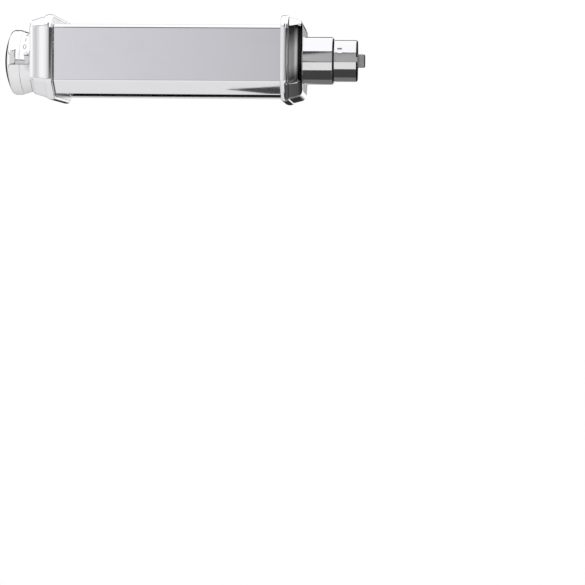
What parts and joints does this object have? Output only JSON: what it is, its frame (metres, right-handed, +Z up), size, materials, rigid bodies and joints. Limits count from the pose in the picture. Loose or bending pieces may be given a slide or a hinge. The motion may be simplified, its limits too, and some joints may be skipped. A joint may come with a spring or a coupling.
{
  "type": "pasta roller attachment",
  "caption": "Chromed pasta sheet roller head: geared rollers between hollow end casings, folded covers, a drive spigot for a mixer outlet and a round gap-setting knob.",
  "frame": {"origin": "centre of the hub's shoulder, where the spigot starts, on the axis of the driven roller", "axes": "+X along the driven roller's axis, out of the hub towards the mixer; +Y to the rear, from the driven roller to the adjustable one; +Z up"},
  "size_m": [0.2523, 0.0789, 0.057],
  "materials": {
    "polished_chrome": "polished plate on sheet and castings",
    "knob_chrome": "polished plate",
    "hub_chrome": "polished plate on turned steel",
    "roller_aluminium": "satin, anodised",
    "plate_steel": "zinc-plated pressed sheet",
    "bright_steel": "bright drawn bar",
    "shaft_steel": "ground",
    "gear_steel": "cut, lightly greased",
    "screw_steel": "zinc plated",
    "bush_nylon": "moulded",
    "scraper_nylon": "moulded, food grade"
  },
  "bodies": {
    "frame": {"left_side_plate": "plate_steel", "right_side_plate": "plate_steel", "tie_rod_front_upper": "bright_steel", "tie_rod_front_lower": "bright_steel", "tie_rod_rear_upper": "bright_steel", "tie_rod_rear_lower": "bright_steel", "tie_rod_screws_left": "screw_steel", "tie_rod_screws_right": "screw_steel", "guide_pins": "bright_steel", "gearbox_spacers": "bright_steel", "gearbox_screws": "screw_steel", "front_cover": "polished_chrome", "rear_cover": "polished_chrome", "front_cover_clips": "scraper_nylon", "rear_cover_clips": "scraper_nylon", "left_end_casing": "polished_chrome", "right_end_casing": "polished_chrome", "left_casing_pillars": "bright_steel", "left_casing_screws": "screw_steel", "right_casing_screws": "screw_steel", "drive_hub": "hub_chrome", "hub_bush": "bush_nylon", "drive_roller_left_bush": "bush_nylon", "drive_roller_right_bush": "bush_nylon", "axle_left_bush": "bush_nylon", "index_plate": "shaft_steel", "index_plate_screws": "screw_steel", "front_scraper": "scraper_nylon"},
    "drive": {"drive_roller": "roller_aluminium", "drive_shaft": "shaft_steel", "drive_gear": "gear_steel", "shaft_clip": "shaft_steel"},
    "adjuster": {"eccentric_axle": "shaft_steel", "knob_washer": "shaft_steel", "knob_screw": "screw_steel"},
    "knob": {"knob_body": "knob_chrome", "knob_cap": "knob_chrome", "index_pin": "bright_steel", "knob_spring": "shaft_steel"},
    "carrier": {"rear_scraper": "scraper_nylon", "scraper_hanger_left": "plate_steel", "scraper_hanger_right": "plate_steel"},
    "rear_roller": {"rear_roller": "roller_aluminium", "rear_gear": "gear_steel", "rear_gear_bush": "bush_nylon", "rear_roller_left_bush": "bush_nylon"}
  },
  "joints": [
    {"name": "drive_spin", "type": "hinge", "parent": "frame", "child": "drive", "pos_m": [0, 0, 0], "axis": [1, 0, 0], "continuous": true},
    {"name": "knob_turn", "type": "hinge", "parent": "frame", "child": "adjuster", "pos_m": [-0.2, 0.0295, 0], "axis": [1, 0, 0], "range_deg": [0, 162]},
    {"name": "knob_pull", "type": "slide", "parent": "adjuster", "child": "knob", "axis": [-1, 0, 0], "range_m": [0, 0.004], "stiffness_N_per_m": 1170, "springref_m": -0.0068, "deforming": ["knob_spring"]},
    {"name": "carrier_level", "type": "hinge", "parent": "adjuster", "child": "carrier", "pos_m": [-0.1, 0.0307, 0], "axis": [1, 0, 0], "range_deg": [-162, 0]},
    {"name": "rear_roller_spin", "type": "hinge", "parent": "carrier", "child": "rear_roller", "pos_m": [-0.1, 0.0307, 0], "axis": [1, 0, 0], "continuous": true}
  ],
  "couplings": [
    {"joint": "carrier_level", "follows": "knob_turn", "ratio": -1},
    {"joint": "rear_roller_spin", "follows": "drive_spin", "ratio": -1}
  ]
}
